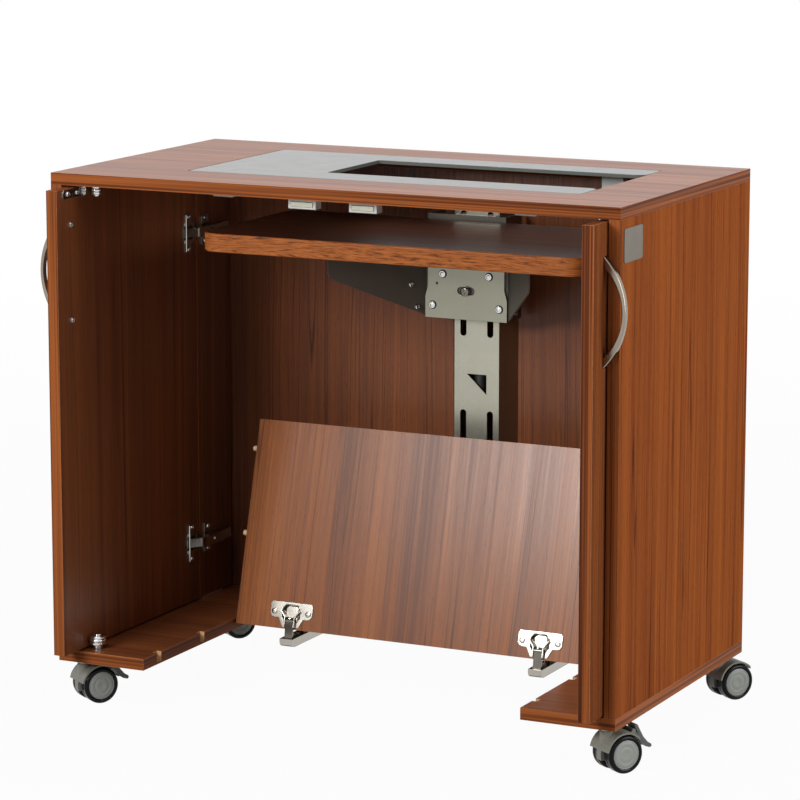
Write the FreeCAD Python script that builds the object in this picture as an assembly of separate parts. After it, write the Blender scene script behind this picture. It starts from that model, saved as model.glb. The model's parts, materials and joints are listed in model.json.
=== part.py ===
import FreeCAD, Part

import math
import os

# Sewing table on castors: a cabinet of 16 mm boards, a lifting shelf for a machine, a cut-out with
# a drop-in plate, two doors that push back along the sides, and a floor panel that folds up.
# X is the width with 0 at the cabinet's middle, Y runs from the front (0) to the back, Z is up from
# the floor. Everything is moved by (-origin_x, -origin_y) as it is written, to centre the whole box.

# cabinet
width = 820.0
depth = 450.0
board = 16.0
carcass_height = 668.0
castor_height = 62.0
strip_width = 132.0
rear_board_gap = 11.0
badge_length = 60.0
badge_height = 43.0
dowel_radius = 4.0
dowel_length = 28.0
dowel_clearance = 0.1

# worktop cut-out and its drop-in plate
cutout_centre_x = 28.0
cutout_width = 572.0
cutout_front = 98.0
cutout_depth = 277.0
cutout_radius = 6.0
plate_thickness = 5.0
plate_gap = 1.5
arm_front = 62.0
arm_rear = 56.0
notch_left_land = 176.0
notch_radius = 5.0
arm_tip_radius = 14.0
clip_width = 31.0
clip_height = 13.0
clip_spread = 438.0

# doors
door_gap = 2.0
door_width = 372.0
door_reveal = 42.0
door_lift = 2.5
follower_gap = 3.0
follower_width = 96.0
guide_groove = 6.4
groove_depth = 7.0
guide_clearance = 0.2
groove_front = 16.0
glide_length = 60.0
handle_inset = 35.0
handle_spacing = 128.0
handle_standoff = 30.0
handle_bar = 5.0
handle_width = 9.0
handle_foot = 7.0
handle_drop = 112.5
lower_hinge_up = 85.5
upper_hinge_down = 98.5
hinge_cup_radius = 17.4
hinge_cup_depth = 11.5
hinge_cup_inset = 22.0
bottom_roller_radius = 11.5
bottom_roller_y = 26.0
top_roller_radius = 8.0
top_roller_y = 46.0
roller_height = 12.0
roller_gap = 0.4
roller_pin_radius = 3.0
roller_pin_clearance = 0.06
bottom_roller_up = 6.0
top_roller_down = 4.0
strike_length = 60.0
strike_height = 12.0
strike_sheet = 1.2
catch_offset = 44.0
catch_length = 59.0
catch_front = 20.0
catch_depth = 16.0
catch_case_half = 20.0
catch_mouth_half = 16.0

# lift
lift_x = cutout_centre_x
shelf_left = -240.0
shelf_right = 318.0
shelf_front = 95.0
shelf_gap = 3.5
shelf_drop = 82.0
shelf_board = 25.0
shelf_radius = 25.0
column_half_front = 34.0
column_half_back = 50.0
column_depth = 30.0
column_sheet = 3.0
column_lip = 12.0
column_foot = 100.0
column_rise = 20.0
slot_offset = 20.5
slot_width = 9.3
slot_under = 7.0
slot_over = 8.0
lower_slot_down = 228.0
lower_slot_length = 124.0
lift_travel = 145.0
sheet = 2.5
front_plate_ahead = 36.5
front_plate_half = 62.0
front_plate_drop = 114.0
carriage_half = 59.0
carriage_overlap = 18.5
carriage_rise = 6.0
pad_half = 30.0
running_gap = 0.3
wing_reach_x = 87.5
wing_reach_y = 129.0
wing_tip_height = 49.0
wing_flange = 20.0
lug_height = 16.0
lug_clearance = 0.4
strut_radius = 9.0
strut_bore = 7.4
rod_radius = 4.0
rod_clearance = 0.06
strut_behind = 14.0
strut_stand = 12.0
bolt_clearance = 0.1
bolt_shank = 3.0

# folding floor panel, standing at rest
panel_length = 290.0
panel_gap = 2.0
panel_lean = 74.7
panel_foot_y = 256.5
panel_foot_z = castor_height + 9.2
panel_dowels = (128.0, 248.0)
panel_dowel_reach = 8.0
flat_panel_back = 291.0
notch_half = 6.0
floor_hinge_x = 190.0
floor_cup_inset = 21.0
arm_half = 10.0
arm_sheet = 1.5
arm_front_y = 244.0
arm_back_y = 346.0
arm_bottom = castor_height - 14.0
arm_top = castor_height - 2.0
link_pin_y = 252.5
link_pin_z = castor_height - 4.5
link_eye_up = 12.0
link_eye_out = 4.0
link_half = 6.0
link_thickness = 3.6
pin_radius = 1.5
pin_clearance = 0.06
eye_wall = 1.2
ear_sheet = 1.7

# castors
castor_inset_x = 23.0
castor_inset_y = 26.0
castor_turn = 56.0
castor_trail = 17.0
wheel_radius = 25.0
wheel_width = 16.0
wheel_gap = 12.0
axle_radius = 3.0
axle_clearance = 0.06
stem_radius = 5.0
stem_into_board = 8.0
stem_clearance = 0.08
hood_radius = 29.0
hood_wall = 2.4
hood_behind = 21.0
boss_radius = 8.6
flange_radius = 15.0
flange_thickness = 3.0
collar_radius = 8.0
hood_top = castor_height - 7.0
axle_end = 4.0
lever_width = 20.0
lever_reach = 32.0
lever_sheet = 2.6
lever_high = 58.0
lever_low = 12.0
lever_flare = 8.0
lever_eye = 2.9
lever_pin = 1.5
lever_ear = 2.0
ear_step = 0.4
ear_drop = 6.0
ear_back = 8.0
lever_clearance = 0.3

# worked out from the sizes above
half_width = width / 2
base_bottom = castor_height
base_top = base_bottom + board
worktop_bottom = base_bottom + carcass_height - board
worktop_top = worktop_bottom + board
inner_half = half_width - board
door_outer = inner_half - door_gap
door_inner = door_outer - board
door_front = -door_reveal
door_back = door_front + door_width
door_bottom = base_top + door_lift
door_top = worktop_bottom - door_lift
follower_front = door_back + follower_gap
follower_back = follower_front + follower_width
back_face = depth - board
strip_inner = half_width - strip_width
cutout_left = cutout_centre_x - cutout_width / 2
cutout_right = cutout_centre_x + cutout_width / 2
cutout_back = cutout_front + cutout_depth
handle_y = door_front + handle_inset
handle_middle_z = door_top - handle_drop
hinge_heights = (door_bottom + lower_hinge_up, door_top - upper_hinge_down)
bottom_roller_z = base_top + bottom_roller_up
top_roller_z = worktop_bottom - top_roller_down - roller_height
rear_board_front = flat_panel_back + rear_board_gap
shelf_top = worktop_top - shelf_drop
shelf_bottom = shelf_top - shelf_board
column_front = back_face - column_depth
column_bottom = base_bottom + column_foot
column_top = shelf_top + column_rise
front_plate_y = column_front - front_plate_ahead
front_plate_bottom = shelf_bottom - front_plate_drop
plate_back = front_plate_y + sheet
shelf_back = front_plate_y - shelf_gap
carriage_back = column_front + carriage_overlap
carriage_top = shelf_top + carriage_rise
lug_bottom = shelf_top - lug_height
slot_bottom = lug_bottom - lift_travel - slot_under
slot_top = lug_bottom + lug_height + slot_over
strut_y = column_front + strut_behind
strut_tube_bottom = column_bottom + strut_stand
strut_tube_top = slot_bottom - 18.0
castor_x = half_width - castor_inset_x
half_axle = wheel_width + wheel_gap / 2
lever_tip = lever_reach + lever_flare + lever_sheet / 2
reach_x = (castor_x + (castor_trail + lever_tip) * math.cos(math.radians(castor_turn))
           + lever_width / 2 * math.sin(math.radians(castor_turn)))
reach_y = (depth - castor_inset_y + (castor_trail + wheel_radius) * math.sin(math.radians(castor_turn))
           + half_axle * math.cos(math.radians(castor_turn)))
origin_x = (reach_x - door_outer - handle_standoff) / 2
origin_y = (reach_y - door_reveal) / 2

X = FreeCAD.Vector(1, 0, 0)
Y = FreeCAD.Vector(0, 1, 0)
Z = FreeCAD.Vector(0, 0, 1)


def vec(x, y, z):
    return FreeCAD.Vector(x, y, z)


def box(x0, x1, y0, y1, z0, z1):
    return Part.makeBox(x1 - x0, y1 - y0, z1 - z0, vec(x0, y0, z0))


def rod(radius, length, start, axis):
    return Part.makeCylinder(radius, length, start, axis)


def prism(points, sweep):
    outline = Part.makePolygon(points + [points[0]])
    return Part.Face(outline).extrude(sweep)


def is_along(edge, axis):
    if not isinstance(edge.Curve, Part.Line):
        return False
    direction = edge.tangentAt(edge.FirstParameter)
    return abs(direction.dot(axis)) > 0.999


def rounded(shape, radius, axis=Z):
    edges = [edge for edge in shape.Edges if is_along(edge, axis)]
    return shape.makeFillet(radius, edges)


def cut(shape, tools):
    for tool in tools:
        shape = shape.cut(tool)
    return shape


def fused(shapes):
    result = shapes[0]
    for other in shapes[1:]:
        result = result.fuse(other)
    return result.removeSplitter()


def group(shapes):
    return Part.makeCompound(shapes)


def mirrored(shape):
    solids = [solid.mirror(vec(0, 0, 0), X) for solid in shape.Solids]
    return solids[0] if len(solids) == 1 else group(solids)


def both_sides(make):
    return [make(-1), make(1)]


def export(name, shape):
    placed = shape.copy()
    placed.translate(vec(-origin_x, -origin_y, 0))
    placed.exportStep("parts/" + name + ".step")
    print(name, len(placed.Solids), round(placed.Volume / 1000.0, 1), "cm3")


def dowel_places():
    """Start points and axes of the dowels that join the boards."""
    places = []
    side_x = half_width - board / 2
    into_board = 9.0
    for sign in (-1, 1):
        for y in (60.0, depth / 2, depth - 60.0):
            places.append((vec(sign * side_x, y, worktop_bottom + into_board - dowel_length), Z))
            places.append((vec(sign * side_x, y, base_top - into_board), Z))
        for share in (0.2, 0.5, 0.8):
            z = base_top + share * (worktop_bottom - base_top)
            start_x = sign * (inner_half + into_board)
            places.append((vec(start_x, depth - board / 2, z), X * -sign))
        for y in (rear_board_front + 38.0, depth - 40.0):
            start_x = sign * (strip_inner + into_board)
            places.append((vec(start_x, y, base_bottom + board / 2), X * -sign))
    return places


def dowel_holes():
    radius = dowel_radius + dowel_clearance
    return [rod(radius, dowel_length + 1.0, start - axis * 0.5, axis) for start, axis in dowel_places()]


def near(shape, tools):
    """Only the tools whose boxes meet the shape's box."""
    return [tool for tool in tools if shape.BoundBox.intersect(tool.BoundBox)]


def guide_grooves(z0, z1):
    middle = (door_outer + door_inner) / 2
    half = guide_groove / 2
    return [box(sign * middle - half, sign * middle + half, groove_front, back_face - 2.0, z0, z1)
            for sign in (-1, 1)]


def worktop():
    top = box(-half_width, half_width, 0, depth, worktop_bottom, worktop_top)
    hole = box(cutout_left, cutout_right, cutout_front, cutout_back, worktop_bottom - 1, worktop_top + 1)
    tools = [rounded(hole, cutout_radius)]
    tools += guide_grooves(worktop_bottom - 1, worktop_bottom + groove_depth)
    return cut(top, tools + near(top, dowel_holes()))


def side_panel(sign):
    inner, outer = sorted((sign * inner_half, sign * half_width))
    panel = box(inner, outer, 0, depth, base_top, worktop_bottom)
    return cut(panel, near(panel, dowel_holes()))


def back_panel():
    panel = box(-inner_half, inner_half, back_face, depth, base_top, worktop_bottom)
    return cut(panel, near(panel, dowel_holes()))


def notch_places():
    return [flat_panel_back - up for up in panel_dowels]


def base_strip(sign):
    inner, outer = sorted((sign * strip_inner, sign * half_width))
    strip = box(inner, outer, 0, depth, base_bottom, base_top)
    tools = []
    reach = panel_dowel_reach - panel_gap + 1.5
    for y in notch_places():
        low, high = sorted((sign * (strip_inner - 1.0), sign * (strip_inner + reach)))
        floor_z = base_bottom + board / 2 - dowel_radius - 1.0
        tools.append(box(low, high, y - notch_half, y + notch_half, floor_z, base_top + 1))
    tools += guide_grooves(base_top - groove_depth + 1, base_top + 1)
    for y in (castor_inset_y, depth - castor_inset_y):
        spot = vec(sign * castor_x, y, base_bottom - 0.1)
        tools.append(rod(stem_radius + 0.1, stem_into_board + 0.6, spot, Z))
    return cut(strip, near(strip, tools + dowel_holes()))


def rear_floor_board():
    panel = box(-strip_inner, strip_inner, rear_board_front, depth, base_bottom, base_top)
    return cut(panel, near(panel, dowel_holes()))


def carcass_dowels():
    return group([rod(dowel_radius, dowel_length, start, axis) for start, axis in dowel_places()])


def insert_plate():
    left = cutout_left + plate_gap
    right = cutout_right - plate_gap
    front = cutout_front + plate_gap
    back = cutout_back - plate_gap
    bottom = worktop_top - plate_thickness
    plate = rounded(box(left, right, front, back, bottom, worktop_top), cutout_radius - plate_gap)
    notch = box(left + notch_left_land, right + 40, front + arm_front, back - arm_rear,
                bottom - 1, worktop_top + 1)
    plate = plate.cut(rounded(notch, notch_radius))
    tips = [edge for edge in plate.Edges if is_along(edge, Z) and abs(edge.Vertexes[0].X - right) < 0.1
            and front + 20 < edge.Vertexes[0].Y < back - 20]
    return plate.makeFillet(arm_tip_radius, tips)


def insert_clips():
    """Ledges screwed under the worktop that hold the drop-in plate level with it."""
    clips = []
    tongue = 13.0
    seat = 21.0
    ledge = worktop_top - plate_thickness
    for sign in (-1, 1):
        x = cutout_centre_x + sign * clip_spread / 2
        for edge, inward in ((cutout_front, 1), (cutout_back, -1)):
            outer, inner = sorted((edge - inward * seat, edge + inward * tongue))
            base = box(x - clip_width / 2, x + clip_width / 2, outer, inner,
                       worktop_bottom - clip_height, worktop_bottom)
            near_edge, far_edge = sorted((edge + inward * 0.5, edge + inward * tongue))
            rise = box(x - clip_width / 2, x + clip_width / 2, near_edge, far_edge,
                       worktop_bottom - 1, ledge)
            clips.append(rounded(fused([base, rise]), 2.0, Y))
    return group(clips)


def catch_bodies():
    bodies = []
    for sign in (-1, 1):
        x = sign * catch_offset
        flange = box(x - catch_length / 2, x + catch_length / 2, catch_front, catch_front + catch_depth,
                     worktop_bottom - 3.0, worktop_bottom)
        case = box(x - catch_case_half, x + catch_case_half, catch_front, catch_front + catch_depth,
                   worktop_bottom - 14.5, worktop_bottom - 2.0)
        slot = box(x - catch_mouth_half, x + catch_mouth_half, catch_front - 1, catch_front + 12,
                   worktop_bottom - 12.0, worktop_bottom - 5.0)
        bodies.append(fused([rounded(flange, 3.0), case]).cut(slot))
    return group(bodies)


def catch_magnets():
    magnets = []
    for sign in (-1, 1):
        x = sign * catch_offset
        half = catch_mouth_half - 0.3
        magnets.append(box(x - half, x + half, catch_front - 0.8, catch_front + 12,
                           worktop_bottom - 11.8, worktop_bottom - 5.2))
    return group(magnets)


def badge_plate():
    top = worktop_bottom - 12.0
    plate = box(half_width, half_width + 1.2, 10, 10 + badge_length, top - badge_height, top)
    return rounded(plate, 4.0, X)


# -- doors, modelled on the left side and mirrored ------------------------------------------------

def door_panel():
    panel = box(-door_outer, -door_inner, door_front, door_back, door_bottom, door_top)
    tools = []
    for z in handle_holes():
        tools.append(rod(2.2, board + 2, vec(-door_outer - 1, handle_y, z), X))
    for z in hinge_heights:
        tools.append(rod(hinge_cup_radius + 0.1, hinge_cup_depth + 0.1,
                         vec(-door_inner - hinge_cup_depth - 0.1, door_back - hinge_cup_inset, z), X))
    return cut(panel, tools)


def handle_holes():
    return (handle_middle_z - handle_spacing / 2, handle_middle_z + handle_spacing / 2)


def follower():
    return box(-door_outer, -door_inner, follower_front, follower_back, door_bottom, door_top)


def follower_glides():
    """Nylon shoes on the ends of the following board, running in the grooves above and below it."""
    middle = -(door_outer + door_inner) / 2
    half = guide_groove / 2 - guide_clearance
    y0 = follower_front + 8
    y1 = y0 + glide_length
    shoes = []
    tongue_top = worktop_bottom + groove_depth - 1.0
    plate = box(middle - 7, middle + 7, y0, y1, door_top, worktop_bottom - guide_clearance)
    shoes.append(fused([plate, box(middle - half, middle + half, y0, y1, door_top, tongue_top)]))
    tongue_bottom = base_top - groove_depth + 1.2
    plate = box(middle - 7, middle + 7, y0, y1, base_top + guide_clearance, door_bottom)
    shoes.append(fused([plate, box(middle - half, middle + half, y0, y1, tongue_bottom, door_bottom)]))
    return group(shoes)


def door_handle():
    """A bow of flat bar with a foot at each end, standing on the door's outer face."""
    half = handle_spacing / 2 + handle_foot
    z = handle_middle_z
    face = -door_outer
    rise = handle_standoff

    def arc(half_chord, height):
        ends = [vec(face, 0, z - half_chord), vec(face - height, 0, z), vec(face, 0, z + half_chord)]
        return Part.Arc(*ends).toShape()

    outer = arc(half, rise)
    inner = arc(half - 2 * handle_foot, rise - handle_bar)
    outline = Part.Wire([outer, Part.makeLine(outer.Vertexes[1].Point, inner.Vertexes[1].Point), inner,
                         Part.makeLine(inner.Vertexes[0].Point, outer.Vertexes[0].Point)])
    bow = Part.Face(outline).extrude(Y * handle_width)
    bow.translate(vec(0, handle_y - handle_width / 2, 0))
    return bow


def strike_and_screws():
    """The steel strike for the catch, its screws and the screws that hold the handle."""
    y0 = door_front + 14
    z0 = door_top - 1 - strike_height
    face = -door_inner
    plate = rounded(box(face, face + strike_sheet, y0, y0 + strike_length, z0, z0 + strike_height), 5.0, X)
    pieces = [plate]
    for share in (0.22, 0.62):
        pieces.append(rod(3.2, 1.4, vec(face + strike_sheet, y0 + share * strike_length,
                                        z0 + strike_height / 2), X))
    for z in handle_holes():
        head = rod(4.0, 2.2, vec(face, handle_y, z), X)
        shank = rod(2.0, board, vec(-door_outer, handle_y, z), X)
        pieces.append(fused([head, shank]))
    return group(pieces)


def door_hinge(z):
    """One concealed hinge held open: cup and flange in the door, arm and plate on the follower."""
    face = -door_inner
    cup_y = door_back - hinge_cup_inset
    flange = rounded(box(face, face + 1.6, cup_y - 8, cup_y + 7, z - 28.5, z + 28.5), 4.0, X)
    neck = box(face, face + 1.6, cup_y, door_back - 3, z - 15, z + 15)
    cup = rod(hinge_cup_radius, hinge_cup_depth, vec(face - hinge_cup_depth, cup_y, z), X)
    mouth = box(face - hinge_cup_depth + 1.2, face + 3, cup_y - 11, cup_y + 13, z - 10, z + 10)
    cup_part = fused([flange, neck, cup]).cut(mouth)
    link = prism([vec(face - 6, cup_y - 4, z - 6), vec(face - 2, cup_y - 7, z - 6),
                  vec(face + 13, cup_y + 14, z - 6), vec(face + 9, cup_y + 18, z - 6)], Z * 12)
    elbow = prism([vec(face + 1.8, cup_y + 14.5, z - 7), vec(face + 14, cup_y + 10, z - 7),
                   vec(face + 16, cup_y + 20, z - 7), vec(face + 16, cup_y + 62, z - 7),
                   vec(face + 12, cup_y + 98, z - 7), vec(face + 4, cup_y + 98, z - 7),
                   vec(face + 4, cup_y + 26, z - 7)], Z * 14)
    wings = rounded(box(face, face + 2, follower_front + 12, follower_front + 32, z - 22, z + 22), 3.0, X)
    riser = box(face, face + 4, follower_front + 8, follower_front + 62, z - 6, z + 6)
    arm = fused([elbow, link])
    plate = fused([wings, riser])
    screws = [rod(3.0, 1.2, vec(face + 2, follower_front + 22, z + dz), X) for dz in (-16, 16)]
    adjuster = rod(3.4, 1.4, vec(face + 16, cup_y + 44, z), X)
    return [cup_part, arm, plate, adjuster] + screws


def door_hinges():
    pieces = []
    for z in hinge_heights:
        pieces += door_hinge(z)
    return group(pieces)


def roller_x(radius):
    return door_inner - roller_gap - radius


def guide_roller(radius, y, z):
    wheel = rod(radius, roller_height, vec(-roller_x(radius), y, z), Z)
    groove = 0.8
    wheel = wheel.makeFillet(groove, wheel.Edges)
    return wheel.cut(rod(roller_pin_radius + roller_pin_clearance, roller_height + 2,
                         vec(-roller_x(radius), y, z - 1), Z))


def roller_posts():
    """Pins with a collar at each end that carry the door rollers."""
    posts = []
    collar = 5.0
    for sign in (-1, 1):
        x = sign * roller_x(bottom_roller_radius)
        foot = rod(collar + 2, 5.8, vec(x, bottom_roller_y, base_top), Z)
        pin = rod(roller_pin_radius, roller_height + 8.2, vec(x, bottom_roller_y, base_top), Z)
        cap = rod(collar, 2.0, vec(x, bottom_roller_y, bottom_roller_z + roller_height + 0.2), Z)
        posts.append(fused([foot, pin, cap]))
        x = sign * roller_x(top_roller_radius)
        foot = rod(collar + 1, 3.8, vec(x, top_roller_y, worktop_bottom - 3.8), Z)
        pin_bottom = top_roller_z - 2.2
        pin = rod(roller_pin_radius, worktop_bottom - pin_bottom, vec(x, top_roller_y, pin_bottom), Z)
        cap = rod(collar, 2.0, vec(x, top_roller_y, pin_bottom), Z)
        posts.append(fused([foot, pin, cap]))
    return group(posts)


# -- lift -----------------------------------------------------------------------------------------

def hat_outline(inset):
    """Corner points of the column's hat section, moved in by the sheet for its inside."""
    front = column_front + inset
    slope = inset * 1.15
    return [vec(lift_x - column_half_back + slope, back_face, column_bottom),
            vec(lift_x - column_half_front + slope * 0.8, front, column_bottom),
            vec(lift_x + column_half_front - slope * 0.8, front, column_bottom),
            vec(lift_x + column_half_back - slope, back_face, column_bottom)]


def lift_column():
    height = column_top - column_bottom
    shell = prism(hat_outline(0), Z * height).cut(prism(hat_outline(column_sheet), Z * height))
    lips = []
    for sign in (-1, 1):
        low, high = sorted((lift_x + sign * (column_half_back - 3),
                            lift_x + sign * (column_half_back - 3 - column_lip)))
        lips.append(box(low, high, back_face - column_sheet, back_face, column_bottom, column_top))
    foot = box(lift_x - column_half_front, lift_x + column_half_front, column_front + 2, back_face,
               column_bottom, column_bottom + column_sheet)
    column = fused([shell, foot] + lips)
    tools = []
    for sign in (-1, 1):
        x = lift_x + sign * slot_offset
        lower = slot_bottom - lower_slot_down
        for z0, z1 in ((slot_bottom, slot_top), (lower, lower + lower_slot_length)):
            slot = box(x - slot_width / 2, x + slot_width / 2, column_front - 1,
                       column_front + column_sheet + 1, z0, z1)
            tools.append(rounded(slot, slot_width / 2 - 0.1, Y))
    middle = slot_bottom - 66.0
    tools.append(prism([vec(lift_x - 15, column_front - 1, middle + 13),
                        vec(lift_x + 15, column_front - 1, middle + 13),
                        vec(lift_x + 15, column_front - 1, middle - 15)], Y * 5))
    tools += [rod(2.6, 6, start + Y * -2, Y) for start in column_screw_places()]
    return cut(column, tools)


def column_screw_places():
    x_offset = column_half_back - 11
    return [vec(lift_x + sign * x_offset, back_face - column_sheet, z)
            for sign in (-1, 1) for z in (column_bottom + 25, column_bottom + 250, column_top - 12)]


def column_screws():
    return group([rod(4.5, 2.5, start - Y * 2.5, Y) for start in column_screw_places()])


def strut_tube():
    outer = rod(strut_radius, strut_tube_top - strut_tube_bottom,
                vec(lift_x, strut_y, strut_tube_bottom), Z)
    bore = rod(strut_bore, strut_tube_top - strut_tube_bottom - 14,
               vec(lift_x, strut_y, strut_tube_bottom + 4), Z)
    mouth = rod(rod_radius + rod_clearance, 20, vec(lift_x, strut_y, strut_tube_top - 15), Z)
    stand = rod(3.0, strut_tube_bottom - column_bottom - column_sheet,
                vec(lift_x, strut_y, column_bottom + column_sheet), Z)
    return fused([cut(outer, [bore, mouth]), stand])


def strut_rod():
    """The gas strut's rod and piston, pushing up under the keeper's tab."""
    bottom = strut_tube_bottom + lift_travel + 12
    shaft = rod(rod_radius, lug_bottom + 2 - bottom, vec(lift_x, strut_y, bottom), Z)
    piston = rod(strut_bore - 0.1, 10, vec(lift_x, strut_y, bottom), Z)
    return fused([shaft, piston])


def lift_shelf():
    return rounded(box(shelf_left, shelf_right, shelf_front, shelf_back, shelf_bottom, shelf_top),
                   shelf_radius)


def lift_front_plate():
    top_half = front_plate_half - 4
    points = [vec(lift_x - front_plate_half, front_plate_y, front_plate_bottom),
              vec(lift_x + front_plate_half, front_plate_y, front_plate_bottom),
              vec(lift_x + front_plate_half, front_plate_y, front_plate_bottom + 30),
              vec(lift_x + top_half, front_plate_y, front_plate_bottom + 44),
              vec(lift_x + top_half, front_plate_y, shelf_bottom - sheet - 0.5),
              vec(lift_x - top_half, front_plate_y, shelf_bottom - sheet - 0.5),
              vec(lift_x - top_half, front_plate_y, front_plate_bottom + 44),
              vec(lift_x - front_plate_half, front_plate_y, front_plate_bottom + 30)]
    plate = prism(points, Y * sheet)
    slot = box(lift_x - 13, lift_x + 13, front_plate_y - 1, plate_back + 1,
               front_plate_bottom + 34.5, front_plate_bottom + 45.5)
    return plate.cut(rounded(slot, 5.4, Y))


def lift_carriage():
    """A channel behind the front plate, with the keeper whose lugs run in the column's slots."""
    web = box(lift_x - carriage_half, lift_x + carriage_half, plate_back, plate_back + sheet,
              front_plate_bottom, carriage_top)
    cheeks = [box(lift_x + sign * carriage_half - (sheet if sign > 0 else 0),
                  lift_x + sign * carriage_half + (0 if sign > 0 else sheet),
                  plate_back, carriage_back, front_plate_bottom, carriage_top)
              for sign in (-1, 1)]
    channel = fused([web] + cheeks)
    inside = column_front + column_sheet + running_gap + 0.3
    keeper = box(lift_x - 28, lift_x + 28, inside, inside + 4, lug_bottom - 4, lug_bottom + lug_height + 4)
    lugs = [box(lift_x + sign * slot_offset - slot_width / 2 + lug_clearance,
                lift_x + sign * slot_offset + slot_width / 2 - lug_clearance,
                column_front - running_gap, inside + 1, lug_bottom, lug_bottom + lug_height)
            for sign in (-1, 1)]
    tab = box(lift_x - 8, lift_x + 8, inside + 3, strut_y + 7, lug_bottom + 2, lug_bottom + 10)
    keeper = fused([keeper, tab] + lugs)
    return group([cut(channel, keeper_holes()), cut(keeper, keeper_holes())])


def keeper_holes():
    z = lug_bottom + lug_height / 2
    return [rod(bolt_shank + bolt_clearance, carriage_back - plate_back,
                vec(lift_x + sign * slot_offset, plate_back - 1, z), Y) for sign in (-1, 1)]


def lift_pads():
    pads = []
    for z0, height in ((front_plate_bottom + 14, 22.0), (lug_bottom - 3, lug_height + 6)):
        pads.append(box(lift_x - pad_half, lift_x + pad_half, plate_back + sheet,
                        column_front - running_gap, z0, z0 + height))
    return group([pads[0], cut(pads[1], keeper_holes())])


def wing(sign):
    """A folded bracket from the carriage's cheek, flaring forward to carry the shelf."""
    root_x = lift_x + sign * (carriage_half + sheet)
    root_y = plate_back + sheet
    tip_x = root_x + sign * wing_reach_x
    tip_y = root_y - wing_reach_y
    top = shelf_bottom
    along = vec(tip_x - root_x, tip_y - root_y, 0)
    along.normalize()
    across = vec(-along.y, along.x, 0) * sign
    if across.x * sign > 0:
        across = across * -1
    start = vec(root_x, root_y, 0) - along * 3.0
    blade = prism([start + Z * front_plate_bottom, start + Z * top, vec(tip_x, tip_y, top),
                   vec(tip_x, tip_y, top - wing_tip_height)], across * -sheet)
    low_tip = [edge for edge in blade.Edges
               if abs(edge.Length - sheet) < 0.01 and edge.BoundBox.ZMax < top - 1
               and abs(edge.CenterOfMass.y - tip_y) < 5]
    blade = blade.makeFillet(14.0, low_tip)
    flange = prism([vec(root_x, root_y, top), vec(tip_x, tip_y, top),
                    vec(tip_x, tip_y, top) + across * wing_flange,
                    vec(root_x, root_y, top) + across * wing_flange], Z * -sheet)
    flange = flange.cut(box(lift_x - carriage_half, lift_x + carriage_half, plate_back, back_face,
                            top - 5, top + 1))
    low, high = sorted((lift_x + sign * carriage_half, root_x))
    root = box(low, high, root_y - 1, root_y + 40, front_plate_bottom, shelf_bottom)
    return fused([blade, flange, root])


def lift_wings():
    return group(both_sides(wing))


def wing_point(sign, share, inset):
    root_x = lift_x + sign * (carriage_half + sheet)
    root_y = plate_back + sheet
    return vec(root_x + sign * (wing_reach_x * share - inset), root_y - wing_reach_y * share, 0)


def shelf_screws():
    pieces = []
    for sign in (-1, 1):
        for share in (0.25, 0.8):
            spot = wing_point(sign, share, 12.0)
            spot.z = shelf_bottom - sheet - 2.0
            pieces.append(rod(4.0, 2.0, spot, Z))
    return group(pieces)


def lift_bolts():
    """Rivets and the tension screw on the front plate, side bolts and the keeper's bolts."""
    pieces = []
    for sign in (-1, 1):
        for offset, z in ((35.0, front_plate_bottom + 62), (50.5, front_plate_bottom + 18)):
            rivet = rod(4.6, 2.6, vec(lift_x + sign * offset, front_plate_y - 2.6, z), Y)
            pieces.append(rivet.makeFillet(1.6, [rivet.Edges[0]]))
        for z in (front_plate_bottom + 12, front_plate_bottom + 42):
            start = vec(lift_x + sign * (carriage_half + sheet), plate_back + sheet + 20, z)
            pieces.append(rod(5.0, 4.0, start, X * sign))
        middle = vec(lift_x + sign * slot_offset, 0, lug_bottom + lug_height / 2)
        head = rod(5.0, 3.0, vec(middle.x, plate_back - 3, middle.z), Y)
        shank = rod(bolt_shank, column_front + 12 - plate_back, vec(middle.x, plate_back - 1, middle.z), Y)
        pieces.append(fused([head, shank]))
    screw = rod(6.5, 4.0, vec(lift_x, front_plate_y - 4.0, front_plate_bottom + 40), Y)
    shank = rod(4.0, 5.0, vec(lift_x, front_plate_y - 2.5, front_plate_bottom + 40), Y)
    pieces.append(fused([screw, shank]))
    return group(pieces)


# -- folding floor panel: built flat with its rear edge at the origin, then stood up ----------------

def stand_up(shape):
    """Local X is the width, local Y runs up the panel and local Z goes out of its cup face."""
    shape = shape.copy()
    shape.rotate(vec(0, 0, 0), X, panel_lean)
    shape.translate(vec(0, panel_foot_y, panel_foot_z))
    return shape


def floor_panel():
    half = strip_inner - panel_gap
    panel = box(-half, half, 0, panel_length, -board, 0)
    tools = []
    for sign in (-1, 1):
        tools.append(rod(hinge_cup_radius + 0.1, hinge_cup_depth + 0.1,
                         vec(sign * floor_hinge_x, floor_cup_inset, -hinge_cup_depth - 0.1), Z))
        for up in panel_dowels:
            tools.append(rod(dowel_radius + dowel_clearance, 20.5, vec(sign * (half + 0.5), up, -board / 2),
                             X * -sign))
    return stand_up(cut(panel, tools))


def floor_panel_dowels():
    half = strip_inner - panel_gap
    length = 20 + panel_dowel_reach
    pins = []
    for sign in (-1, 1):
        for up in panel_dowels:
            pins.append(rod(dowel_radius, length, vec(sign * (half + panel_dowel_reach), up, -board / 2),
                            X * -sign))
    return stand_up(group(pins))


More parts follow.
